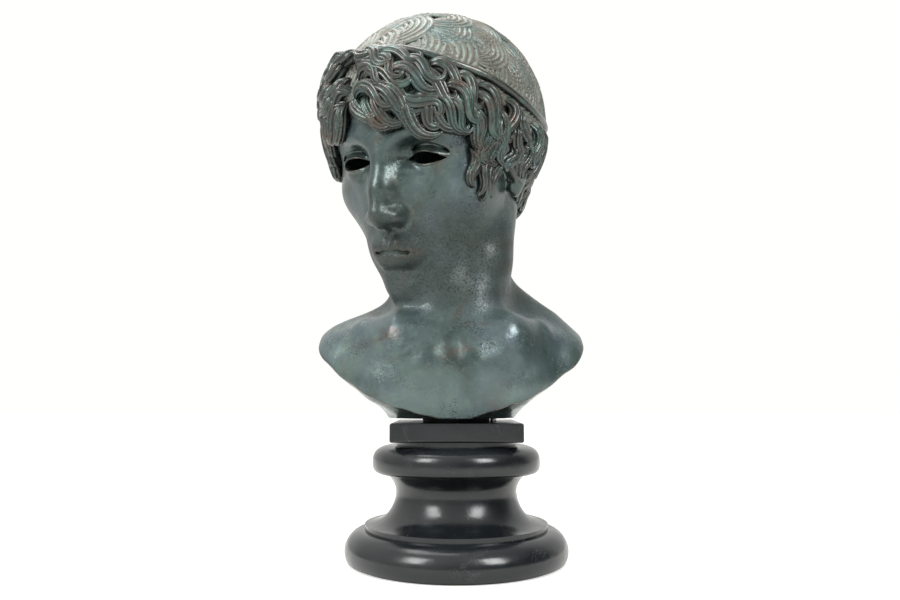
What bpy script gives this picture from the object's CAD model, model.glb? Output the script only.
"""Patinated bronze bust of a youth on a turned black marble socle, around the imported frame.

The skin is sculpted as one distance field in millimetres and meshed as two pieces, head and chest,
which stand for the castings. The hair is modelled lock by lock over a scalp that rounds out the
skull. The socle and its hardware keep their CAD shapes and get their own materials.
"""

import itertools
import math

import bmesh
import bpy
import numpy as np
import openvdb
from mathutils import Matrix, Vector


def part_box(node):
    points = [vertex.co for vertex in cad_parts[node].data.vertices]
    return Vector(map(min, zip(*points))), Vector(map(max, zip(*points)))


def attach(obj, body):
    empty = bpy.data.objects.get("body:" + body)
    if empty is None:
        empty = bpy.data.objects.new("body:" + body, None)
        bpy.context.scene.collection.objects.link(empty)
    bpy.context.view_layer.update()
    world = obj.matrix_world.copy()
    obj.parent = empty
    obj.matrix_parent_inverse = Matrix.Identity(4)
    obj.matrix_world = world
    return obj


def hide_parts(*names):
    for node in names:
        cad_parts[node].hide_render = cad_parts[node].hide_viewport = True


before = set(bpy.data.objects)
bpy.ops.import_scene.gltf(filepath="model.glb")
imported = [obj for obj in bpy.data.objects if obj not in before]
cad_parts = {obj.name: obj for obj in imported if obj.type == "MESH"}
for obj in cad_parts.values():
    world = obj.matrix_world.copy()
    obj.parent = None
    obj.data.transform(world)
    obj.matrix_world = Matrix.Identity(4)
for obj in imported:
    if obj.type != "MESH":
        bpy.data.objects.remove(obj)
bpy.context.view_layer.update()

MM = 0.001
HEAD_VOXEL = 1.15
CHEST_VOXEL = 1.7
rng = np.random.default_rng(7)


# ---------------- places, from the frame
def box_mm(node):
    low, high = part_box(node)
    return np.array(low) / MM, np.array(high) / MM


head_high = box_mm("head_casting")[1]
chest_low, chest_high = box_mm("chest_casting")
block_low = box_mm("square_block")[0]
NECK_JOINT_Z = chest_high[2]
FOOT_Z = chest_low[2]
SPLIT_Z = NECK_JOINT_Z - 18.0  # where the two modelled castings meet, below the chin
SPLIT_OVERLAP = 0.6  # how far the head reaches down past that plane
CREST_REACH = 0.9  # over how many mm a bump or hollow counts as one
CREST_GAIN, CREST_LEVEL = 1.1, 0.03  # how strongly bending counts, and the bend of plain skin
CREST_LEAST, CREST_MOST = 0.27, 0.84
RIM_WEAR = 1.6  # how wide the cut edge is rubbed, in mm
MOST_TRIANGLES = 185_000

# The head's own frame: facing -Y, +Z to the crown, origin midway between the ears at eye height.
YAW, BOW, ROLL = math.radians(-29), math.radians(20), math.radians(4)
head_origin = np.array([block_low[0] + 35.0, -5.0, head_high[2] - 113.0])


def rotation(axis, angle):
    """The matrix of a turn about x, y or z."""
    first, second = {"x": (1, 2), "y": (2, 0), "z": (0, 1)}[axis]
    turn = np.eye(3)
    turn[first, first] = turn[second, second] = math.cos(angle)
    turn[first, second] = -math.sin(angle)
    turn[second, first] = math.sin(angle)
    return turn


HEAD_TURN = rotation("z", YAW) @ rotation("x", BOW) @ rotation("y", ROLL)


def to_head(p):
    return (p - head_origin) @ HEAD_TURN


def from_head(p):
    return p @ HEAD_TURN.T + head_origin


# ---------------- distance field tools
def smin(a, b, k):
    """Smooth union: k is the width in mm over which two forms melt together."""
    h = np.clip(0.5 + 0.5 * (b - a) / k, 0, 1)
    return b + (a - b) * h - k * h * (1 - h)


def smax(a, b, k):
    return -smin(-a, -b, k)


def ellipsoid(p, centre, radii, turn=None):
    q = p - np.array(centre, np.float32)
    if turn is not None:
        q = q @ turn
    r = np.array(radii, np.float32)
    near = np.linalg.norm(q / r, axis=1)
    far = np.linalg.norm(q / (r * r), axis=1) + 1e-6
    return near * (near - 1) / far


def tube(p, start, end, start_r, end_r):
    """A round limb whose radius runs from one end to the other."""
    a, b = np.array(start, np.float32), np.array(end, np.float32)
    axis = b - a
    share = np.clip(((p - a) @ axis) / (axis @ axis), 0, 1)
    return np.linalg.norm(p - a - share[:, None] * axis, axis=1) - (
        start_r + (end_r - start_r) * share
    )


def chain(p, points, radii, k=2.0):
    """Tubes joined end to end through the points."""
    field = None
    for i in range(len(points) - 1):
        piece = tube(p, points[i], points[i + 1], radii[i], radii[i + 1])
        field = piece if field is None else smin(field, piece, k)
    return field


def swell(p, centre, spread, amount):
    """What to take off a field to raise a soft mound of that height, or sink one if negative."""
    q = (p - np.array(centre, np.float32)) / np.array(spread, np.float32)
    return amount * np.exp(-(q * q).sum(axis=1))


def mirrored(p):
    """The same points with both halves of the face folded onto +X."""
    q = p.copy()
    q[:, 0] = np.abs(q[:, 0])
    return q


# ---------------- the head
# Forms are laid on one another in mm, each with its centre and radii. The last number given to
# smin and smax is the width over which they melt together.
EYE = np.array([31.0, -66.5, 0.0])
EYE_R = 12.3  # of the hollow behind the open lids
LID_R = 13.8
EYE_HALF_W, UPPER_SAG, LOWER_SAG = 14.2, 5.2, 3.4  # the opening and its two arcs


def almond(q):
    """Distance in the plane of the face from the edge of the eye's opening, negative inside it."""
    x = q[:, 0] - EYE[0]
    z = q[:, 2] - EYE[2] + 0.05 * x
    upper_r = (EYE_HALF_W**2 + UPPER_SAG**2) / (2 * UPPER_SAG)
    lower_r = (EYE_HALF_W**2 + LOWER_SAG**2) / (2 * LOWER_SAG)
    above = np.hypot(x, z - UPPER_SAG + upper_r) - upper_r
    below = np.hypot(x, z + LOWER_SAG - lower_r) - lower_r
    return np.maximum(above, below)


def skull_and_face(q):
    d = ellipsoid(q, (0, 4, 22), (75, 94, 86))
    d = smin(d, ellipsoid(q, (0, -24, -22), (62, 61, 80)), 18)
    d = smin(d, ellipsoid(q, (0, -38, -76), (37, 44, 33)), 18)
    d = smin(d, ellipsoid(q, (38, -10, -54), (16, 30, 28)), 20)
    d = smin(d, ellipsoid(q, (0, -71, -96), (18, 16, 15)), 14)
    d = smin(d, ellipsoid(q, (44, -42, -24), (19, 20, 16)), 20)
    d = smin(d, ellipsoid(q, (0, -62, -64), (29, 27, 25)), 16)
    return d


def brow(q, d):
    ridge = chain(
        q, [(0, -81, 15), (12, -81, 16), (28, -78, 20), (43, -66, 19), (55, -47, 12)],
        [6.5, 6, 5.4, 4.6, 3], 8,
    )
    return smin(d, ridge, 11)


def nose(q, d):
    bridge = chain(
        q, [(0, -82, 26), (0, -87, 6), (0, -96, -17), (0, -102, -34)], [7.6, 6.8, 6.2, 6.6], 6
    )
    body = ellipsoid(q, (0, -81, -25), (14.5, 19, 24))
    d = smin(d, body, 10)
    d = smin(d, bridge, 8)
    d = smin(d, ellipsoid(q, (0, -101, -38), (7.6, 7.4, 6.4)), 5)
    d = smin(d, ellipsoid(q, (8.6, -92.5, -39.5), (6.4, 9.4, 6.2)), 7)
    d = smin(d, tube(q, (0, -90, -46), (0, -101, -43), 3.4, 3.2), 5)
    return smax(d, -ellipsoid(q, (5.6, -95, -48.5), (2.4, 4.8, 3.6)), 3.0)


def mouth(q, d):
    upper = chain(
        q,
        [(0, -86.6, -62.6), (5, -87.0, -62.0), (13, -83.2, -63.4), (22, -76.0, -66.0)],
        [4.8, 4.8, 4.3, 2.2],
        6,
    )
    lower = chain(
        q, [(0, -85.4, -72.0), (9, -84.0, -71.2), (19, -77.2, -68.0)], [6.0, 5.4, 2.4], 6
    )
    d = smin(d, upper, 6.5)
    d = smin(d, lower, 6.5)
    parting = chain(
        q,
        [(0, -93.4, -67.0), (5, -93.0, -66.5), (13, -88.6, -66.8), (20, -81.4, -66.8)],
        [0.7, 0.7, 0.6, 0.3],
        2,
    )
    d = smax(d, -parting, 3.4)
    d = d + swell(q, (0, -90, -55), (3.4, 9, 6.5), 0.8)
    d = d + swell(q, (0, -86, -82.5), (18, 10, 7), 1.3)
    return d + swell(q, (24.5, -76, -66.8), (5, 9, 6), 0.4)


def eyes(q, d):
    socket = ellipsoid(q, (31, -93, 4), (19, 19.5, 12.5))
    d = smax(d, -socket, 8)
    d = d + swell(q, (16, -80, 2), (5, 9, 8), 1.6)
    opening = almond(q)
    from_eye = np.linalg.norm(q - EYE.astype(np.float32), axis=1)
    lids = from_eye - LID_R
    d = smin(d, lids, 4)
    above = q[:, 2] - EYE[2]
    crease = np.hypot(opening - 4.4, from_eye - LID_R - 1.2) - 1.15
    d = smax(d, -smax(crease, 1.5 - above, 2), 2.0)
    rim = np.hypot(opening - 0.6, from_eye - LID_R + 0.1) - 1.25
    d = smin(d, rim, 0.9)
    in_front = q[:, 1] - EYE[1]
    window = np.maximum(opening, in_front)
    hollow = smin(from_eye - EYE_R, ellipsoid(q, EYE + (0, 10, 0), (12, 24, 11)), 2)
    d = smax(d, -window, 0.6)
    return np.maximum(d, -hollow)


def ears(q, d):
    lean = rotation("x", math.radians(12)).astype(np.float32)
    r = (q - np.array([69.5, -12, -2], np.float32)) @ lean
    across = r[:, 0]
    around = np.hypot(r[:, 1] / 0.62, r[:, 2])
    shell = np.hypot((around - 25) * 0.8, across - 5) - 3.4
    plate = ellipsoid(r, (-1, 1, -3), (7, 15, 27))
    lobe = ellipsoid(r, (2, -5, -27), (5, 7.5, 8.5))
    d = smin(d, plate, 6)
    d = smax(d, -ellipsoid(r, (7, -3, -5), (6.5, 7, 11)), 3)
    d = smin(d, shell, 3)
    d = smin(d, lobe, 4)
    tragus = ellipsoid(r, (3, -11, -9), (3.5, 4, 5.5))
    return smin(d, tragus, 3)


def head_field(p):
    q = mirrored(to_head(p).astype(np.float32))
    d = skull_and_face(q)
    d = brow(q, d)
    d = nose(q, d)
    d = eyes(q, d)
    d = mouth(q, d)
    d = ears(q, d)
    return smin(d, scalp_mass(q), 2.5)


# ---------------- neck and chest
CHEST_X = -4.0  # the chest's middle
NOTCH = (-4.0, -50.0, 157.0)  # the pit between the collar bones
RIM_TIP_Z = 168.0  # the height of the cut edge's two tips
RIM_HALF_W = 107.5
RIM_DROP = 1.5  # how far the skin's cut edge hangs past the foot's plane before it is trimmed
WALL = 5.0
left_mastoid = from_head(np.array([46.0, 26.0, -26.0]))
right_mastoid = from_head(np.array([-46.0, 26.0, -26.0]))


def neck_field(p):
    d = tube(p, (-3, 8, 176), (-6, 6, 262), 50, 47)
    d = smin(d, tube(p, (-6, 14, 256), (-14, 14, 310), 46, 50), 16)
    for side, mastoid in ((1, left_mastoid), (-1, right_mastoid)):
        start = np.array([NOTCH[0] + side * 9, NOTCH[1] + 14, NOTCH[2] + 6])
        middle = start * 0.5 + mastoid * 0.5 + np.array([side * 1.0, -3.0, 0.0])
        muscle = chain(p, [start, middle, mastoid], [12.0, 15.0, 13.0], 14)
        d = smin(d, muscle, 22)
    larynx = ellipsoid(p, (-11, -37, 216), (9, 8, 15))
    return smin(d, larynx, 18)


def torso_field(p):
    d = ellipsoid(p, (CHEST_X, 8, 138), (98, 61, 66))
    for side in (-1, 1):
        x = CHEST_X
        slope = tube(p, (x + side * 22, 20, 190), (x + side * 82, 19, 163), 30, 22)
        d = smin(d, slope, 22)
        cap = ellipsoid(p, (x + side * 82, 15, 150), (34, 38, 34))
        d = smin(d, cap, 22)
        breast = ellipsoid(p, (x + side * 32, -24, 138), (38, 27, 30))
        d = smin(d, breast, 26)
        bone = chain(
            p,
            [(x + side * 16, -42, 157), (x + side * 40 + 2, -35, 175), (x + side * 66, -20, 178)],
            [16.0, 15.0, 9.0],
            14,
        )
        d = smin(d, bone, 20)
    stretched = tube(p, (CHEST_X + 24, 24, 222), (CHEST_X + 72, 18, 184), 21, 18)
    return smin(d, stretched, 16)


def torso_features(p, d):
    d = d + swell(p, (NOTCH[0], NOTCH[1] - 4, NOTCH[2] + 8), (12, 20, 13), 3.0)
    for side in (-1, 1):
        d = d + swell(p, (CHEST_X + side * 56, -24, 186), (22, 20, 10), 1.6)
    return d + swell(p, (CHEST_X, -58, 136), (9, 16, 26), 1.4)


def cut_edge(p, drop=0.0, spread=0.0):
    """The bust's lower outline seen from the front, as a distance, positive below it.

    It is near half an ellipse hung from the shoulder tips, with a slow hand-cut waver.
    """
    half_w = RIM_HALF_W + spread
    depth = RIM_TIP_Z - FOOT_Z + drop
    u = (p[:, 0] - CHEST_X) / half_w
    v = np.maximum(RIM_TIP_Z - p[:, 2], 0) / depth
    waver = 0.008 * np.sin(p[:, 0] * 0.11 + p[:, 1] * 0.03) + 0.006 * np.sin(p[:, 0] * 0.31 + 1)
    reach = (np.abs(u) ** 1.42 + v**1.6) ** 0.66 + waver
    return (reach - 1) * depth * 0.85


def chest_field(p):
    """The chest as a cast shell with a cut rim, and the set-back support under it."""
    torso = torso_features(p, torso_field(p))
    shell = smax(torso, cut_edge(p, RIM_DROP), 0.8)
    inside = np.maximum(torso + WALL, p[:, 2] - NECK_JOINT_Z - 12)
    shell = np.maximum(shell, -inside)
    core = smax(torso + 10.0, cut_edge(p, 8, -2), 7)
    foot = (np.hypot((p[:, 0] - CHEST_X) / 1.42, p[:, 1]) - 34) * 0.9
    stem = np.maximum(foot, p[:, 2] - 150)
    core = smin(core, stem, 14)
    d = np.minimum(shell, core)
    return np.maximum(d, FOOT_Z - p[:, 2])


def body_field(p):
    p = p.astype(np.float32)
    chest = chest_field(p)
    neck = np.maximum(neck_field(p), 158 - p[:, 2])
    return smin(chest, neck, 13)


def bust_field(p):
    p = p.astype(np.float32)
    field = body_field(p)
    near_head = p[:, 2] > NECK_JOINT_Z - 22
    if near_head.any():
        field[near_head] = smin(field[near_head], head_field(p[near_head]), 9)
    return field


# ---------------- hair: the scalp it lies on
SCALP_CENTRE = (0.0, 9.5, 24.0)
SCALP_RADII = (84.0, 102.0, 86.5)
WHORL = np.array([8.0, 48.0, 106.0])
CORD_TURNS = (0, 15, 30, 42, 54, 65, 75, 88, 110, 140, 180)
CORD_HEIGHTS = (79, 77, 71, 63, 56, 47, 36, 25, 14, 6, 2)
EDGE_TURNS = (0, 25, 40, 50, 57, 63, 69, 76, 84, 94, 106, 130, 180)
EDGE_HEIGHTS = (34, 33, 25, 12, 2, -6, -2, 6, -14, -40, -54, -62, -66)
PARTING_TURN = -14.0  # the hair parts over the figure's right eye


def scalp_bulk(q):
    """The rounded mass that the hair adds to the skull, in the head's frame."""
    d = ellipsoid(q, SCALP_CENTRE, SCALP_RADII)
    return smin(d, ellipsoid(q, (0, 40, -24), (56, 54, 60)), 16)


def scalp(q):
    """The surface that the hair is laid on: its own bulk, and the temples and cheeks beside it."""
    return smin(scalp_bulk(q), skull_and_face(mirrored(q)), 5)


def turn_of(q):
    """Degrees round the head from the middle of the forehead, to either side."""
    return np.degrees(np.abs(np.arctan2(q[:, 0], -(q[:, 1] - SCALP_CENTRE[1]))))


def scalp_mass(q):
    """The bulk under the locks: the scalp above the hair's lower edge."""
    edge = np.interp(turn_of(q), EDGE_TURNS, EDGE_HEIGHTS)
    return smax(scalp_bulk(q), (edge - q[:, 2]) * 0.8, 10)


def on_scalp(q):
    """The nearest points of the scalp and its outward normals there."""
    for _ in range(3):
        normal = np.empty_like(q)
        for axis in range(3):
            shift = np.zeros(3)
            shift[axis] = 0.4
            normal[:, axis] = scalp(q + shift) - scalp(q - shift)
        normal /= np.linalg.norm(normal, axis=1, keepdims=True) + 1e-9
        q = q - scalp(q)[:, None] * normal
    return q, normal


def scalp_point(turn, height):
    """The scalp's point at that signed turn from the forehead and that height, both arrays."""
    turn = np.radians(turn)
    share = np.clip((height - SCALP_CENTRE[2]) / SCALP_RADII[2], -0.97, 0.97)
    girth = np.sqrt(1 - share**2)
    q = np.stack(
        [
            SCALP_RADII[0] * girth * np.sin(turn),
            SCALP_CENTRE[1] - SCALP_RADII[1] * girth * np.cos(turn),
            height,
        ],
        axis=1,
    )
    return on_scalp(q)[0]


# ---------------- hair: one lock
def trace_locks(starts, lengths, heading, stations):
    """Paths over the scalp: points, outward normals and ways ahead, a row to each lock.

    heading(share) gives the angle at that share of the length, from the way straight off the whorl.
    """
    q, normal = on_scalp(np.array(starts, float))
    centres, normals, along = [], [], []
    for i in range(stations):
        share = i / (stations - 1)
        down = q - WHORL
        down -= (down * normal).sum(1, keepdims=True) * normal
        down /= np.linalg.norm(down, axis=1, keepdims=True) + 1e-9
        side = np.cross(normal, down)
        angle = heading(share)[:, None]
        way = np.cos(angle) * down + np.sin(angle) * side
        centres.append(q)
        normals.append(normal)
        along.append(way)
        q, normal = on_scalp(q + way * (lengths / (stations - 1))[:, None])
    return np.stack(centres, 1), np.stack(normals, 1), np.stack(along, 1)


BED = 2.2  # how far under the scalp a lock's body reaches, in mm
ROOT_SINK = 1.6  # how far under it a lock's back starts
STRAND_POINTS = 5  # faces across one strand
STRAND_FULLNESS = 0.55  # under 1 makes the strands full and their grooves narrow
SKULL_DROP = 170.0  # a low lock falls away from its middle line by its across squared over this
FLANK_ANGLE = 2.05  # how far round from the top, in radians, the strands of a curl reach
BURIED = 0.9  # the gap value of the parts that other locks hide


def flat_section(u, strand, w, h, base, depth):
    """Across, up and no gaps, for a low lock: strands on a shallow dome."""
    dome = np.sqrt(np.clip(1 - u * u, 0, 1)) ** 0.8
    across = w * u
    rise = base + h * dome * (1 - depth + depth * strand) - across**2 / SKULL_DROP
    return across, rise, np.zeros_like(across)


def round_section(u, strand, w, h, base, depth):
    """Across, up and how deep in the gaps, for a curl whose strands wrap round its flanks."""
    angle = FLANK_ANGLE * u
    high = (base + h + BED) / 2
    groove = depth * (1 - strand) * np.minimum(w * 0.4, 2.2)
    across = (w - groove) * np.sin(angle)
    rise = high - BED + (high - groove) * np.cos(angle)
    gap = np.clip(0.45 - np.cos(angle), 0, BURIED)
    return across, rise, np.broadcast_to(gap, across.shape)


def lock_mesh(name, path, half_w, height, lift, raise_tip, tilt, strands, depth, section):
    """One mesh of many locks, each a tapering body with that many rounded strands on its back.

    half_w, height, lift, raise_tip and tilt are arrays, one value to a lock. depth is the share of
    a strand's height that its grooves cut away, and section says how the strands lie on the body.
    """
    centres, normals, along = path
    locks, stations = centres.shape[:2]
    share = np.linspace(0, 1, stations)[None, :, None]
    u = np.linspace(-1, 1, strands * STRAND_POINTS + 1)[None, None, :]
    strand = np.abs(np.sin(np.pi * strands * (u + 1) / 2)) ** STRAND_FULLNESS
    # Each lock widens and thickens from the root and tapers to its tip.
    width = (0.5 + 0.5 * np.sin(np.pi / 2 * np.minimum(share / 0.4, 1))) * (1 - 0.86 * share**3.2)
    thick = np.sin(np.pi / 2 * np.minimum(share / 0.25 + 0.25, 1)) * (1 - 0.72 * share**4)
    w = half_w[:, None, None] * width
    h = height[:, None, None] * thick
    side = np.cross(along, normals)
    lean = tilt[:, None, None]
    up = normals * np.cos(lean) + side * np.sin(lean)
    out = side * np.cos(lean) - normals * np.sin(lean)
    rooted = np.sin(np.pi / 2 * np.minimum(share / 0.28, 1))
    base = (lift[:, None, None] + ROOT_SINK) * rooted - ROOT_SINK
    base = base + raise_tip[:, None, None] * share**1.5
    across, rise, gap = section(u, strand, w, h, base, depth)
    under_across = w * np.array([0.6, 0.0, -0.6])[None, None, :]
    across = np.concatenate([across, under_across], axis=2)
    rise = np.concatenate([rise, np.full_like(under_across, -BED)], axis=2)
    gap = np.concatenate([gap, np.full_like(under_across, BURIED)], axis=2)
    crest = np.concatenate([strand[0, 0], np.zeros(3)])
    rings = (
        centres[:, :, None, :]
        + out[:, :, None, :] * across[..., None]
        + up[:, :, None, :] * rise[..., None]
    )
    around = rings.shape[2]
    points = from_head(rings.reshape(-1, 3))
    i = np.arange(stations - 1)[:, None]
    j = np.arange(around)[None, :]
    k = (j + 1) % around
    quad = np.stack(
        [i * around + j, i * around + k, (i + 1) * around + k, (i + 1) * around + j], -1
    ).reshape(-1, 4)
    quads = (quad[None] + (np.arange(locks) * stations * around)[:, None, None]).reshape(-1, 4)
    start_ring = np.arange(around)[::-1]
    end_ring = np.arange(around) + (stations - 1) * around
    faces = [tuple(f) for f in quads.tolist()]
    for n in range(locks):
        offset = n * stations * around
        faces.append(tuple((start_ring + offset).tolist()))
        faces.append(tuple((end_ring + offset).tolist()))
    mesh = bpy.data.meshes.new(name)
    mesh.from_pydata((points * MM).tolist(), [], faces)
    mesh.update()
    store(mesh, "crest", np.tile(crest, locks * stations))
    store(mesh, "gap", gap.ravel())
    return mesh


def jitter(count, spread):
    return rng.uniform(-spread, spread, count)


# ---------------- hair: the crown
CROWN_RINGS = (3.0, 24.0, 48.0, 72.0, 96.0, 120.0, 144.0)  # mm from the whorl over the scalp
INNER_RINGS = 3  # how many of them go into the piece round the whorl
CROWN_RADIUS = 82.0  # of the widest ring
CROWN_ARC = 90.0  # radius in mm of the arc from the whorl down
CROWN_SPACING = 20.0  # between the locks of a ring
WALK_STEP = 4.0
CROWN_LOCK_LENGTH, CROWN_LOCK_HALF_W, CROWN_LOCK_HEIGHT = 68, 15.6, 2.8
CROWN_STRANDS, CROWN_GROOVE, CROWN_STATIONS = 6, 0.74, 28


def crown_starts():
    """Start points ring by ring round the whorl, with each lock's ring number."""
    starts, ring_of = [], []
    for ring, reach in enumerate(CROWN_RINGS):
        girth = 2 * math.pi * CROWN_RADIUS * math.sin(min(reach / CROWN_ARC, math.pi / 2))
        count = max(5, int(girth / CROWN_SPACING))
        for i in range(count):
            angle = 2 * math.pi * (i + 0.5 * (ring % 2)) / count + rng.uniform(-0.05, 0.05)
            way = np.array([math.sin(angle), -math.cos(angle), 0.0])
            q, normal = on_scalp(WHORL[None].astype(float))
            walked = 0.0
            while walked < reach + rng.uniform(-3, 3):
                way = way - (way @ normal[0]) * normal[0]
                way /= np.linalg.norm(way)
                q, normal = on_scalp(q + way * WALK_STEP)
                walked += WALK_STEP
            turn = turn_of(q)[0]
            if q[0, 2] > np.interp(turn, CORD_TURNS, CORD_HEIGHTS):
                starts.append(q[0])
                ring_of.append(ring)
    return np.array(starts), np.array(ring_of)


def crown_locks():
    """Low crescent locks that lie ring over ring from the whorl down to the cord."""
    starts, ring_of = crown_starts()
    made = []
    inner = ring_of < INNER_RINGS
    for name, chosen in (("hair_crown", inner), ("hair_cap", ~inner)):
        these, rings = starts[chosen], ring_of[chosen]
        count = len(these)
        first = np.radians(80 + jitter(count, 8))
        last = -np.radians(84 + jitter(count, 12))

        def heading(share):
            return first + (last - first) * (0.5 - 0.5 * math.cos(math.pi * share))

        lengths = CROWN_LOCK_LENGTH + jitter(count, 6)
        path = trace_locks(these, lengths, heading, CROWN_STATIONS)
        mesh = lock_mesh(
            name,
            path,
            CROWN_LOCK_HALF_W + jitter(count, 1.4),
            CROWN_LOCK_HEIGHT + jitter(count, 0.3),
            0.2 - 0.2 * rings + jitter(count, 0.15),
            1.2 + jitter(count, 0.3),
            np.full(count, 0.06),
            CROWN_STRANDS,
            CROWN_GROOVE,
            flat_section,
        )
        made.append(mesh)
    return made


# ---------------- hair: the curls under the cord
CURL_GROOVE, CURL_STATIONS = 0.62, 34


def cord_height(turns):
    return np.interp(np.abs(turns), CORD_TURNS, CORD_HEIGHTS)


def edge_height(turns):
    return np.interp(np.abs(turns), EDGE_TURNS, EDGE_HEIGHTS)


def both_sides(turns, heights, values):
    """The same starts on both sides of the head: signed turns, heights and the value of each."""
    return np.concatenate([turns, -turns]), np.tile(heights, 2), np.tile(values, 2)


def curl_row(name, turns, heights, lead, swing, curl, length, body, strands, outward=0.5):
    """S-shaped locks from the given signed turns and heights.

    lead is each lock's mean angle from the way straight off the whorl, away from the parting.
    swing is the angle of the S to either side of it and the number of waves. curl is how far the
    tip turns on, in degrees. body is the half width, height and lift. outward is the share of locks
    whose S and tip go that way, the rest being mirrored.
    """
    count = len(turns)
    side = np.where(turns >= PARTING_TURN, 1.0, -1.0)
    starts = scalp_point(turns + jitter(count, 1.5), heights + jitter(count, 1.5))
    lead = np.radians(lead + jitter(count, 8)) * side
    turning = np.where(rng.random(count) < outward, 1.0, -1.0)
    wave, waves = swing
    wave = np.radians(wave + jitter(count, 8)) * side * turning
    phase = jitter(count, 0.35)
    hook = np.radians(curl + jitter(count, 22)) * side * turning
    lengths = length + jitter(count, length * 0.12)
    half_w, height, lift = body

    def heading(share):
        onward = np.clip((share - 0.55) / 0.45, 0, 1) ** 1.2
        return lead + wave * np.cos(2 * np.pi * waves * share + phase) + hook * onward

    path = trace_locks(starts, lengths, heading, CURL_STATIONS)
    return lock_mesh(
        name,
        path,
        half_w + jitter(count, half_w * 0.14),
        height + jitter(count, height * 0.14),
        lift + jitter(count, 0.9),
        1.4 + jitter(count, 0.9),
        jitter(count, 0.26),
        strands,
        CURL_GROOVE,
        round_section,
    )


def fringe():
    """The locks that sweep from the parting over the brow to the temples, stratum on stratum."""
    made = []
    strata = (  # name, mm under the cord, turns, leads, length, body, strands
        ("fringe_low", 37, (20, 32, 44, 55), (64, 60, 52, 36), 44, (6.4, 6.8, 1.8), 6),
        ("fringe_middle", 28, (2, 14, 27, 40, 53), (72, 76, 72, 62, 44), 50, (6.4, 7.2, 2.6), 6),
        ("fringe_high", 19, (7, 20, 33, 46, 59), (84, 80, 74, 62, 44), 52, (6.4, 7.2, 3.2), 5),
        ("fringe_top", 9, (1, 14, 27, 40, 53), (92, 86, 80, 70, 52), 48, (5.8, 6.8, 3.6), 5),
    )
    for name, drop, turns, leads, length, body, strands in strata:
        turns = np.array(turns, float)
        heights = np.maximum(cord_height(turns) - drop, edge_height(turns) + 11)
        signed, heights, leads = both_sides(turns, heights, leads)
        made.append(
            curl_row(name, signed, heights, leads, (40, 0.95), 130, length, body, strands, 0.85)
        )
    bangs = np.array([-44.0, -35, -27, -19, -11, -4, 3, 11, 20, 29])
    made.append(
        curl_row(
            "fringe_brow", bangs, 51 - np.abs(bangs) * 0.2, 50 + np.abs(bangs) * 0.3, (-36, 0.5),
            95, 40, (6.4, 6.8, 2.0), 6, 1.0,
        )
    )
    knot = np.array([-25.0, -18, -10, -3, -20, -13, -29, -23, -16, -22, -14, -28])
    knot_heights = np.array([70.0, 73, 74, 68, 63, 62, 62, 55, 54, 79, 80, 76])
    made.append(curl_row("fringe_knot", knot, knot_heights, 64, (50, 0.8), 200, 40, (6, 7, 5), 6))
    outer = np.array([-21.0, -29, -37, -45, -54, -34])
    outer_heights = cord_height(outer) + (6, 6, 5, 3, -1, -6)
    made.append(curl_row("fringe_outer", outer, outer_heights, 58, (50, 1), 170, 36, (6, 7, 7), 5))
    return made


def sides_and_nape():
    """The locks that hang from the cord over the temples, behind the ears and down the nape."""
    made = []
    rows = (  # name, turns, mm under the cord, lead, length, lift, strands
        ("temple_upper", (66, 76, 84, 92, 101, 110), 8, 28, 44, 2.4, 5),
        ("temple_middle", (61, 72, 83, 94, 105), 22, 22, 44, 2.8, 6),
        ("temple_lower", (60, 70, 80, 90, 100), 34, 12, 36, 2.4, 5),
        ("nape_upper", (118, 129, 140, 151, 162, 174), 9, 12, 42, 0.8, 5),
        ("nape_middle", (112, 123, 134, 145, 156, 168, 179), 26, 10, 40, 0.8, 6),
        ("nape_lower", (95, 106, 117, 128, 139, 150, 162, 174), 44, 8, 40, 0.8, 5),
        ("nape_ends", (98, 108, 119, 130, 141, 152, 163, 174), 60, 4, 30, -0.4, 5),
    )
    for name, turns, drop, lead, length, lift, strands in rows:
        turns = np.array(turns, float)
        heights = cord_height(turns) - drop
        signed, heights, leads = both_sides(turns, heights, np.full(len(turns), lead))
        # Behind the ears the locks lie closer.
        lift = lift - 3.2 * np.clip((np.abs(signed) - 84) / 16, 0, 1)
        body = (6.2, 6.4, lift)
        made.append(curl_row(name, signed, heights, leads, (44, 1.0), 140, length, body, strands, 0.6))
    turns, heights = np.array([49.0, 54, 59, 64]), np.array([6.0, -1, -8, -2])
    leads = np.array([14.0, 6, 4, 0])
    made.append(curl_row("sideburn", turns, heights, leads, (26, 0.8), 60, 36, (5.6, 5.4, 1), 5))
    return made


def cord_mesh():
    """The round fillet that binds the hair: a closed ring, sunk in the locks behind the ears."""
    count, around, radius = 160, 14, 3.1
    turns = np.linspace(-180, 180, count, endpoint=False)
    q = scalp_point(turns, cord_height(turns))
    for _ in range(3):
        q = (np.roll(q, 1, 0) + q * 2 + np.roll(q, -1, 0)) / 4
    q, normal = on_scalp(q)
    along = np.roll(q, -1, 0) - np.roll(q, 1, 0)
    along /= np.linalg.norm(along, axis=1, keepdims=True)
    side = np.cross(along, normal)
    angle = 2 * np.pi * np.arange(around) / around
    raised = np.interp(np.abs(turns), (78, 100), (3.4, 1.0))[:, None]
    ring = (
        q[:, None]
        + normal[:, None] * (raised + radius * np.cos(angle))[:, :, None]
        + side[:, None] * (radius * np.sin(angle))[None, :, None]
    )
    points = from_head(ring.reshape(-1, 3))
    faces = []
    for i in range(count):
        for j in range(around):
            n, m = (i + 1) % count, (j + 1) % around
            faces.append((i * around + j, n * around + j, n * around + m, i * around + m))
    mesh = bpy.data.meshes.new("hair_cord")
    mesh.from_pydata((points * MM).tolist(), [], faces)
    store(mesh, "crest", np.tile(0.35 + 0.45 * np.cos(angle), count))
    store(mesh, "gap", np.tile(0.5 - 0.5 * np.cos(angle), count))
    return mesh


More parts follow.
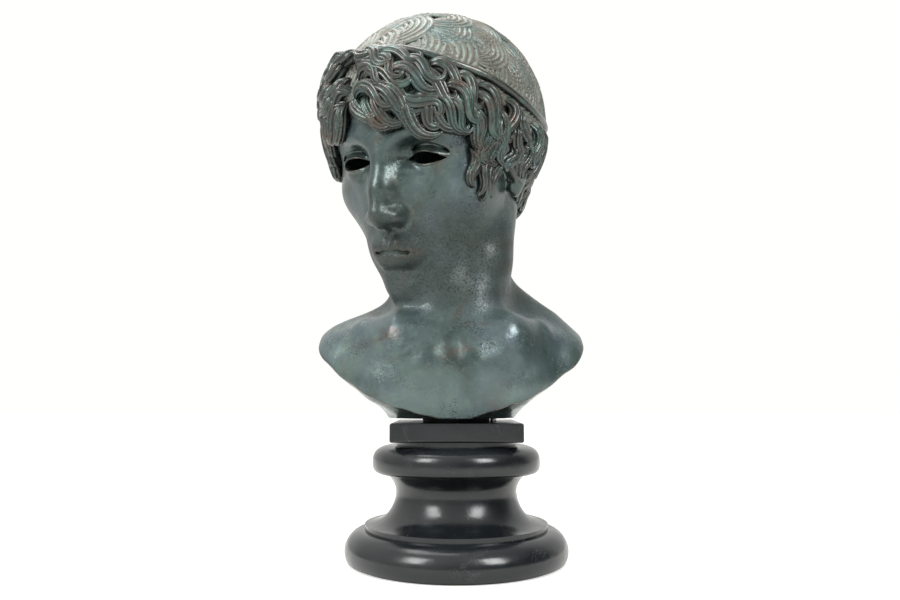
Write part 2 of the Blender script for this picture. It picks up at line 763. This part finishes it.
# ---------------- meshing the field
def enlarged(cells, times):
    """Each cell repeated that many times along every axis."""
    for axis in range(3):
        cells = np.repeat(cells, times, axis)
    return cells


def mesh_from_field(name, field, low, high, voxel):
    """A closed mesh of the field's surface in a box, found coarsely first and then refined."""
    low, high = np.array(low, float), np.array(high, float)
    step = 4
    count = np.ceil((high - low) / (voxel * step)).astype(int)
    grids = [low[i] + voxel * step * np.arange(count[i] + 1) for i in range(3)]
    coarse = np.stack(np.meshgrid(*grids, indexing="ij"), -1)
    values = field(coarse.reshape(-1, 3)).reshape(coarse.shape[:3])
    reach = voxel * step * 1.6
    near = np.abs(values) < reach
    cells = np.zeros(count, bool)
    for dx, dy, dz in itertools.product((0, 1), repeat=3):
        cells |= near[dx : dx + count[0], dy : dy + count[1], dz : dz + count[2]]
    fine_shape = count * step + 1
    fine = enlarged(values[:-1, :-1, :-1], step)
    full = np.full(fine_shape, reach, np.float32)
    full[:-1, :-1, :-1] = np.where(fine < 0, -reach, reach)
    wanted = np.zeros(fine_shape, bool)
    block = enlarged(cells, step)
    wide, deep, tall = block.shape
    for dx, dy, dz in itertools.product((0, 1), repeat=3):
        wanted[dx : dx + wide, dy : dy + deep, dz : dz + tall] |= block
    index = np.argwhere(wanted)
    chunk = 400_000
    for start in range(0, len(index), chunk):
        part = index[start : start + chunk]
        full[tuple(part.T)] = field(low + part * voxel)
    grid = openvdb.FloatGrid()
    grid.background = reach
    grid.copyFromArray(full)
    points, quads = grid.convertToQuads(isovalue=0.0)
    points = low + points * voxel
    points = snap_to_field(points, field, voxel)
    mesh = bpy.data.meshes.new(name)
    mesh.vertices.add(len(points))
    mesh.vertices.foreach_set("co", (points * MM).astype(np.float32).ravel())
    mesh.loops.add(quads.size)
    mesh.loops.foreach_set("vertex_index", quads[:, ::-1].astype(np.int32).ravel())
    mesh.polygons.add(len(quads))
    mesh.polygons.foreach_set("loop_start", np.arange(0, quads.size, 4, dtype=np.int32))
    mesh.update(calc_edges=True)
    mesh.validate()
    return mesh


def snap_to_field(points, field, voxel):
    """Moves each point onto the surface along the field's gradient."""
    eps = 0.35 * voxel
    d = field(points)
    gradient = np.empty_like(points)
    for axis in range(3):
        shift = np.zeros(3)
        shift[axis] = eps
        gradient[:, axis] = (field(points + shift) - field(points - shift)) / (2 * eps)
    length = np.linalg.norm(gradient, axis=1, keepdims=True) + 1e-6
    step = np.clip(d[:, None] / length, -0.4 * voxel, 0.4 * voxel)
    return points - step * gradient / length


def dress_mesh(mesh, field):
    """Shades the mesh by the field itself, so that the two castings meet without a seam.

    Stores crest, high where a point stands out and low in a hollow, and gap, high where the
    surface is the bulk under the hair.
    """
    points = np.empty(len(mesh.vertices) * 3, np.float32)
    mesh.vertices.foreach_get("co", points)
    points = points.reshape(-1, 3) / MM
    bend = -6 * field(points)
    normals = np.empty_like(points)
    for axis in range(3):
        shift = np.zeros(3, np.float32)
        shift[axis] = CREST_REACH
        ahead, behind = field(points + shift), field(points - shift)
        normals[:, axis] = ahead - behind
        bend += ahead + behind
    normals /= np.linalg.norm(normals, axis=1, keepdims=True) + 1e-9
    bend /= CREST_REACH**2
    crest = np.clip(0.5 + CREST_GAIN * (bend - CREST_LEVEL), CREST_LEAST, CREST_MOST)
    edge = np.abs(cut_edge(points, RIM_DROP)) + 20 * (points[:, 2] > RIM_TIP_Z + 9)
    crest = np.maximum(crest, np.exp(-((edge / RIM_WEAR) ** 2)))
    head = mirrored(to_head(points).astype(np.float32))
    under_hair = np.clip(1.2 - scalp_mass(head) / 2.5, 0, 1)
    under_hair = under_hair * np.clip(scalp_bulk(head) / 4 + 1.2, 0, 1)
    mesh.normals_split_custom_set_from_vertices(normals.tolist())
    store(mesh, "crest", crest)
    store(mesh, "gap", under_hair)


def store(mesh, name, values):
    attribute = mesh.attributes.new(name, "FLOAT", "POINT")
    attribute.data.foreach_set("value", values.astype(np.float32))


def thin_out(piece, most):
    """Merges the faces of the flattest stretches until no more triangles than that are left."""
    triangles = sum(len(f.vertices) - 2 for f in piece.data.polygons)
    if triangles <= most:
        return
    modifier = piece.modifiers.new("thin", "DECIMATE")
    modifier.ratio = most / triangles
    graph = bpy.context.evaluated_depsgraph_get()
    thinned = bpy.data.meshes.new_from_object(piece.evaluated_get(graph))
    piece.modifiers.clear()
    piece.data = thinned


def keep_side(mesh, z, above):
    """Cuts the mesh at a level plane, keeps one side and closes it there."""
    bm = bmesh.new()
    bm.from_mesh(mesh)
    geom = bm.verts[:] + bm.edges[:] + bm.faces[:]
    cut = bmesh.ops.bisect_plane(
        bm,
        geom=geom,
        plane_co=(0, 0, z * MM),
        plane_no=(0, 0, 1),
        clear_inner=above,
        clear_outer=not above,
    )
    edges = [e for e in cut["geom_cut"] if isinstance(e, bmesh.types.BMEdge)]
    bmesh.ops.triangle_fill(bm, use_beauty=True, use_dissolve=False, edges=edges)
    bmesh.ops.recalc_face_normals(bm, faces=bm.faces)
    bm.to_mesh(mesh)
    bm.free()
    return mesh


def add_piece(name, mesh, material, node=None):
    piece = bpy.data.objects.new(name, mesh)
    bpy.context.scene.collection.objects.link(piece)
    mesh.materials.clear()
    mesh.materials.append(material)
    mesh.polygons.foreach_set("use_smooth", np.ones(len(mesh.polygons), bool))
    mesh.update()
    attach(piece, "root")
    if node is not None:
        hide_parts(*node)
    return piece


# ---------------- materials
RANGE_ENDS = ("From Min", "From Max", "To Min", "To Max")


class Painter:
    """A new node material, with short ways to add the nodes that the finishes share."""

    def __init__(self, name):
        self.material = bpy.data.materials.new(name)
        self.material.use_nodes = True
        self.tree = self.material.node_tree
        self.shader = self.tree.nodes["Principled BSDF"]
        self.place = self.tree.nodes.new("ShaderNodeTexCoord").outputs["Object"]
        self.bumps = None

    def node(self, kind, **inputs):
        made = self.tree.nodes.new(kind)
        for name, value in inputs.items():
            self.feed(made.inputs[name.replace("_", " ")], value)
        return made

    def feed(self, socket, value):
        if isinstance(value, bpy.types.NodeSocket):
            self.tree.links.new(value, socket)
        else:
            socket.default_value = value

    def noise(self, scale, detail=4.0, roughness=0.55, distortion=0.0, stretch=None):
        where = self.place
        if stretch is not None:
            where = self.node("ShaderNodeMapping", Vector=where, Scale=stretch).outputs["Vector"]
        made = self.node(
            "ShaderNodeTexNoise", Vector=where, Scale=scale, Detail=detail,
            Roughness=roughness, Distortion=distortion,
        )
        return made.outputs["Fac"]

    def cells(self, scale):
        made = self.node("ShaderNodeTexVoronoi", Vector=self.place, Scale=scale)
        return made.outputs["Distance"]

    def span(self, value, low, high, to_low=0.0, to_high=1.0):
        """Maps the stretch low to high of a value onto another stretch, clamped."""
        made = self.node("ShaderNodeMapRange", Value=value)
        for socket, end in zip(RANGE_ENDS, (low, high, to_low, to_high)):
            made.inputs[socket].default_value = end
        return made.outputs["Result"]

    def maths(self, kind, a, b):
        made = self.tree.nodes.new("ShaderNodeMath")
        made.operation = kind
        self.feed(made.inputs[0], a)
        self.feed(made.inputs[1], b)
        return made.outputs[0]

    def attribute(self, name):
        made = self.tree.nodes.new("ShaderNodeAttribute")
        made.attribute_name = name
        return made.outputs["Fac"]

    def ramp(self, value, *stops):
        made = self.node("ShaderNodeValToRGB", Fac=value)
        ramp = made.color_ramp
        while len(ramp.elements) < len(stops):
            ramp.elements.new(0.5)
        for element, (at, colour) in zip(ramp.elements, stops):
            element.position = at
            element.color = (*colour, 1)
        return made.outputs["Color"]

    def mix(self, share, first, second):
        made = self.tree.nodes.new("ShaderNodeMix")
        made.data_type = "RGBA"
        self.feed(made.inputs[0], share)
        for socket, value in ((made.inputs[6], first), (made.inputs[7], second)):
            self.feed(socket, value if isinstance(value, bpy.types.NodeSocket) else (*value, 1))
        return made.outputs[2]

    def bump(self, height, distance, strength=1.0):
        made = self.node("ShaderNodeBump", Height=height, Distance=distance, Strength=strength)
        if self.bumps is not None:
            self.tree.links.new(self.bumps, made.inputs["Normal"])
        self.bumps = made.outputs["Normal"]

    def done(self, colour, roughness, **sockets):
        self.feed(self.shader.inputs["Base Color"], colour)
        self.feed(self.shader.inputs["Roughness"], roughness)
        for name, value in sockets.items():
            self.shader.inputs[name.replace("_", " ")].default_value = value
        if self.bumps is not None:
            self.feed(self.shader.inputs["Normal"], self.bumps)
        return self.material


DEEP_TEAL = (0.018, 0.032, 0.028)
SLATE = (0.048, 0.076, 0.072)
STEEL_BLUE = (0.062, 0.088, 0.098)
GREY_GREEN = (0.105, 0.150, 0.132)
PALE_DUST = (0.200, 0.255, 0.215)
TURQUOISE = (0.085, 0.170, 0.140)
BROWN = (0.055, 0.030, 0.020)
RUBBED = (0.076, 0.046, 0.033)
UMBER = (0.050, 0.049, 0.042)
GAP_BLACK = (0.006, 0.009, 0.008)
SHADOWED = (0.022, 0.030, 0.026)
GROOVE_TEAL = (0.010, 0.018, 0.016)
DUSTED_BROWN = (0.105, 0.098, 0.080)
MARBLE_DARK, MARBLE_LIGHT = (0.004, 0.005, 0.006), (0.010, 0.0125, 0.014)
MARBLE_VEIN = (0.085, 0.09, 0.095)
ZINC_DULL, ZINC_BRIGHT = (0.47, 0.48, 0.50), (0.62, 0.63, 0.64)
RUBBER_DARK, RUBBER_LIGHT = (0.010, 0.010, 0.010), (0.028, 0.028, 0.027)
BAIZE_DARK, BAIZE_LIGHT = (0.008, 0.015, 0.010), (0.035, 0.052, 0.040)


def pitting(p, patches):
    """Fine corrosion pits in patches: returns where they are, and bumps them in."""
    pits = p.maths("MULTIPLY", p.span(p.noise(720, 3, 0.6), 0.55, 0.64), patches)
    p.bump(p.maths("SUBTRACT", 1.0, pits), 0.0006, 0.9)
    return pits


def patinated_bronze():
    """Blue-green patina over bronze: pale dust in the hollows, rubbed brown metal on the crests."""
    p = Painter("patinated_bronze")
    clouds = p.noise(16, 5, 0.6, 0.8)
    colour = p.ramp(clouds, (0.34, DEEP_TEAL), (0.46, SLATE), (0.56, STEEL_BLUE), (0.70, GREY_GREEN))
    mottle = p.noise(140, 4, 0.6, 0.4)
    colour = p.mix(p.span(mottle, 0.5, 0.75, 0.0, 0.5), colour, GREY_GREEN)
    stain = p.noise(23, 6, 0.65, 1.2)
    colour = p.mix(p.span(stain, 0.53, 0.70, 0.0, 0.8), colour, BROWN)
    height = p.node("ShaderNodeSeparateXYZ", Vector=p.place).outputs["Z"]
    throat = p.maths("MULTIPLY", p.span(height, 0.178, 0.21), p.span(height, 0.285, 0.245))
    throat = p.maths("MULTIPLY", throat, p.span(p.noise(30, 4, 0.6, 0.6), 0.3, 0.62, 0.45, 0.95))
    colour = p.mix(throat, colour, SHADOWED)
    clumps = p.span(p.noise(17, 5), 0.42, 0.62, 0.0, 0.6)
    breast = p.maths("MULTIPLY", p.span(height, 0.17, 0.15), clumps)
    colour = p.mix(breast, colour, GREY_GREEN)
    crest = p.attribute("crest")
    dusty = p.span(crest, 0.42, 0.06)
    dusty = p.maths("MULTIPLY", dusty, p.span(p.noise(60, 4), 0.3, 0.65, 0.15, 0.6))
    colour = p.mix(dusty, colour, PALE_DUST)
    worn = p.span(crest, 0.66, 0.92)
    worn = p.maths("MULTIPLY", worn, p.span(p.noise(75, 5, 0.65), 0.38, 0.58, 0.15, 0.7))
    colour = p.mix(worn, colour, RUBBED)
    patches = p.maths("MAXIMUM", p.span(p.noise(38, 4, 0.6, 0.5), 0.52, 0.66), throat)
    pits = pitting(p, patches)
    colour = p.mix(p.maths("MULTIPLY", pits, 0.55), colour, DEEP_TEAL)
    gap = p.attribute("gap")
    colour = p.mix(p.span(gap, 0.1, 0.9, 0.0, 0.92), colour, GAP_BLACK)
    roughness = p.span(p.noise(85, 5, 0.65), 0.3, 0.7, 0.22, 0.40)
    roughness = p.maths("ADD", roughness, p.maths("MULTIPLY", dusty, 0.28))
    roughness = p.maths("ADD", roughness, p.maths("MULTIPLY", throat, 0.26))
    roughness = p.maths("ADD", roughness, p.maths("MULTIPLY", gap, 0.3))
    roughness = p.maths("SUBTRACT", roughness, p.maths("MULTIPLY", worn, 0.09))
    p.bump(p.noise(42, 3, 0.5), 0.0016, 0.5)
    p.bump(p.noise(210, 4, 0.6), 0.0005, 0.5)
    return p.done(colour, roughness, Metallic=0.42, Coat_Weight=0.12, Coat_Roughness=0.25)


def combed_bronze(name, crests, grooves, grip, gloss, metallic):
    """The same patina on the hair: brown where the strands are rubbed, green in their grooves.

    grip is how much of the grooves the settled green covers, gloss the crests' roughness.
    """
    p = Painter(name)
    crest, gap = p.attribute("crest"), p.attribute("gap")
    patches = p.noise(34, 5, 0.62, 0.8)
    high = p.ramp(patches, (0.36, SLATE), (0.47, crests), (0.56, crests), (0.68, RUBBED))
    settled = p.span(p.noise(29, 5, 0.6, 0.5), 0.62 - 0.3 * grip, 0.74 - 0.3 * grip)
    low = p.mix(settled, GROOVE_TEAL, grooves)
    colour = p.mix(p.span(crest, 0.35, 0.85), low, high)
    colour = p.mix(p.span(p.noise(190, 4, 0.6), 0.52, 0.72, 0.0, 0.45), colour, grooves)
    pits = pitting(p, p.span(p.noise(44, 4, 0.6), 0.5, 0.64))
    colour = p.mix(p.maths("MULTIPLY", pits, 0.5), colour, DEEP_TEAL)
    colour = p.mix(p.span(gap, 0.1, 0.9, 0.0, 0.92), colour, GAP_BLACK)
    roughness = p.span(p.noise(120, 5, 0.65), 0.3, 0.7, gloss - 0.07, gloss + 0.12)
    dull = p.maths("MAXIMUM", p.span(crest, 0.8, 0.2), gap)
    roughness = p.maths("ADD", roughness, p.maths("MULTIPLY", dull, 0.3))
    p.bump(p.noise(260, 4, 0.6), 0.0004, 0.5)
    return p.done(colour, roughness, Metallic=metallic, Coat_Weight=0.15, Coat_Roughness=0.2)


def black_marble():
    """Polished near-black stone: soft grey clouds, hair-fine veins and the odd nick."""
    p = Painter("black_marble")
    clouds = p.noise(14, 6, 0.6, 1.5)
    colour = p.ramp(clouds, (0.3, MARBLE_DARK), (0.7, MARBLE_LIGHT))
    vein = p.maths("ABSOLUTE", p.maths("SUBTRACT", p.noise(9, 8, 0.62, 2.2), 0.5), 0.0)
    vein = p.maths("MULTIPLY", p.span(vein, 0.008, 0.0), p.span(p.noise(20), 0.5, 0.65, 0.0, 0.4))
    colour = p.mix(vein, colour, MARBLE_VEIN)
    roughness = p.span(p.noise(55, 5, 0.65), 0.3, 0.7, 0.16, 0.30)
    p.bump(p.noise(60, 3), 0.0004, 0.35)
    p.bump(p.span(p.cells(260), 0.0, 0.09), 0.0002, 0.35)
    return p.done(colour, roughness, IOR=1.45)


def zinc_steel(name, grain):
    """Zinc-plated steel, brushed along the given grain."""
    p = Painter(name)
    brushed = p.noise(60, 5, 0.7, 0.0, grain)
    spangle = p.noise(300, 3, 0.6)
    colour = p.mix(p.span(spangle, 0.35, 0.7), ZINC_DULL, ZINC_BRIGHT)
    roughness = p.span(brushed, 0.3, 0.7, 0.24, 0.46)
    p.bump(brushed, 0.0001, 0.5)
    return p.done(colour, roughness, Metallic=1.0)


def gasket_rubber():
    p = Painter("gasket_rubber")
    specks = p.noise(700, 4, 0.6)
    colour = p.mix(p.span(specks, 0.4, 0.7), RUBBER_DARK, RUBBER_LIGHT)
    p.bump(specks, 0.0002, 0.5)
    return p.done(colour, p.span(p.noise(90), 0.3, 0.7, 0.62, 0.82))


def baize_felt():
    p = Painter("baize_felt")
    fibres = p.noise(1400, 5, 0.75, 1.5)
    colour = p.mix(p.span(fibres, 0.3, 0.7), BAIZE_DARK, BAIZE_LIGHT)
    p.bump(fibres, 0.0006, 0.9)
    roughness = p.span(p.noise(200), 0.3, 0.7, 0.85, 1.0)
    return p.done(colour, roughness, Sheen_Weight=0.4, Sheen_Roughness=0.5)


def give(material, *nodes):
    """Paints CAD nodes that stay as they are."""
    for node in nodes:
        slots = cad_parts[node].data.materials
        slots.clear()
        slots.append(material)


bronze = patinated_bronze()
curl_bronze = combed_bronze("curl_bronze", UMBER, TURQUOISE, 0.3, 0.23, 0.5)
crown_bronze = combed_bronze("crown_bronze", DUSTED_BROWN, PALE_DUST, 0.9, 0.44, 0.25)
give(black_marble(), "lower_torus", "scotia", "upper_torus", "square_block")
give(gasket_rubber(), "seat_gasket")
give(baize_felt(), "baize_pad")
give(zinc_steel("drawn_rod_steel", (6, 6, 0.3)), "tie_rod", "locating_pin")
give(
    zinc_steel("turned_nut_steel", (1, 1, 8)),
    "bottom_washer", "bottom_nut", "top_washer", "top_nut", "jam_nut",
)

# ---------------- build
head_mesh = mesh_from_field(
    "bust_head",
    bust_field,
    (-112, -116, SPLIT_Z - 6),
    (86, 104, head_high[2] + 4),
    HEAD_VOXEL,
)
keep_side(head_mesh, SPLIT_Z - SPLIT_OVERLAP, True)
chest_mesh = mesh_from_field(
    "bust_chest",
    bust_field,
    (-120, -72, FOOT_Z - 4),
    (114, 80, SPLIT_Z + 6),
    CHEST_VOXEL,
)
keep_side(chest_mesh, SPLIT_Z, False)
head = add_piece("bust_head", head_mesh, bronze, ["head_casting"])
chest = add_piece("bust_chest", chest_mesh, bronze, ["chest_casting", "neck_collar"])
for casting in (head, chest):
    thin_out(casting, MOST_TRIANGLES)
    dress_mesh(casting.data, bust_field)
for lock_piece in crown_locks():
    add_piece(lock_piece.name, lock_piece, crown_bronze)
for lock_piece in fringe() + sides_and_nape() + [cord_mesh()]:
    add_piece(lock_piece.name, lock_piece, curl_bronze)


# ---------------- stage
LAMPS = (  # name, place in metres, width, height, watts
    ("key", (0.86, -1.02, 0.92), 0.5, 0.7, 20),
    ("fill", (-0.95, -0.95, 0.92), 0.5, 0.7, 17),
    ("top", (-0.3, 0.1, 1.5), 0.9, 0.9, 14),
)
LAMP_AIM = (0, 0, 0.22)
PAPER_WHITE = (1, 1, 0.975, 1)
LENS, SENSOR = 29.44, 36
CAMERA_PLACE = (-0.005, -0.6029, 0.127)
CAMERA_TILT_UP = 7.5  # degrees


def floor_and_light():
    """A white floor and backdrop, soft light from high on the left, and two softboxes in front."""
    bpy.ops.mesh.primitive_plane_add(size=12, location=(0, 0, 0))
    floor = bpy.context.object
    floor.name = "floor"
    p = Painter("floor_white")
    tone = p.mix(p.noise(3, 3), (0.60, 0.605, 0.585), (0.64, 0.645, 0.625))
    white = p.done(tone, 0.8, Emission_Color=(1, 1, 0.98, 1), Emission_Strength=0.52)
    floor.data.materials.append(white)
    floor.visible_diffuse = False
    bpy.ops.mesh.primitive_uv_sphere_add(radius=6, segments=48, ring_count=24)
    backdrop = bpy.context.object
    backdrop.name = "backdrop"
    backdrop.visible_diffuse = False
    backdrop.visible_glossy = False
    backdrop.visible_shadow = False
    p = Painter("backdrop_white")
    paper = p.mix(p.noise(2, 2), (0.0, 0.0, 0.0), (0.004, 0.004, 0.004))
    glow = p.done(paper, 1.0, Emission_Color=PAPER_WHITE, Emission_Strength=1.0)
    backdrop.data.materials.append(glow)
    sky_light()
    for name, place, wide, tall, power in LAMPS:
        data = bpy.data.lights.new(name, "AREA")
        data.shape = "RECTANGLE"
        data.size = wide
        data.size_y = tall
        data.energy = power
        lamp = bpy.data.objects.new(name, data)
        lamp.visible_camera = False
        lamp.location = place
        aim = Vector(LAMP_AIM) - Vector(place)
        lamp.rotation_euler = aim.to_track_quat("-Z", "Y").to_euler()
        bpy.context.scene.collection.objects.link(lamp)
    bpy.context.scene.view_settings.view_transform = "Standard"


def sky_light():
    """Soft surrounding light: bright above and behind, dim to the lower right and in front."""
    world = bpy.data.worlds.new("studio")
    bpy.context.scene.world = world
    world.use_nodes = True
    nodes, links = world.node_tree.nodes, world.node_tree.links
    way = nodes.new("ShaderNodeTexCoord").outputs["Generated"]

    def share(direction, low, high, dim, bright):
        along = nodes.new("ShaderNodeVectorMath")
        along.operation = "DOT_PRODUCT"
        along.inputs[1].default_value = Vector(direction).normalized()
        links.new(way, along.inputs[0])
        made = nodes.new("ShaderNodeMapRange")
        made.interpolation_type = "SMOOTHSTEP"
        for socket, end in zip(RANGE_ENDS, (low, high, dim, bright)):
            made.inputs[socket].default_value = end
        links.new(along.outputs["Value"], made.inputs["Value"])
        return made.outputs["Result"]

    above = share((-0.5, -0.2, 0.84), -0.15, 0.95, 0.10, 1.25)
    behind = share((0, 1, 0.1), 0.1, 0.6, 0.0, 1.0)
    brighter = nodes.new("ShaderNodeMath")
    brighter.operation = "MAXIMUM"
    links.new(above, brighter.inputs[0])
    links.new(behind, brighter.inputs[1])
    background = nodes["Background"]
    background.inputs["Color"].default_value = PAPER_WHITE
    links.new(brighter.outputs[0], background.inputs["Strength"])


def camera():
    data = bpy.data.cameras.new("camera")
    data.sensor_width = SENSOR
    data.lens = LENS
    cam = bpy.data.objects.new("camera", data)
    cam.location = CAMERA_PLACE
    cam.rotation_euler = (math.radians(90 + CAMERA_TILT_UP), 0, 0)
    bpy.context.scene.collection.objects.link(cam)
    bpy.context.scene.camera = cam


floor_and_light()
camera()
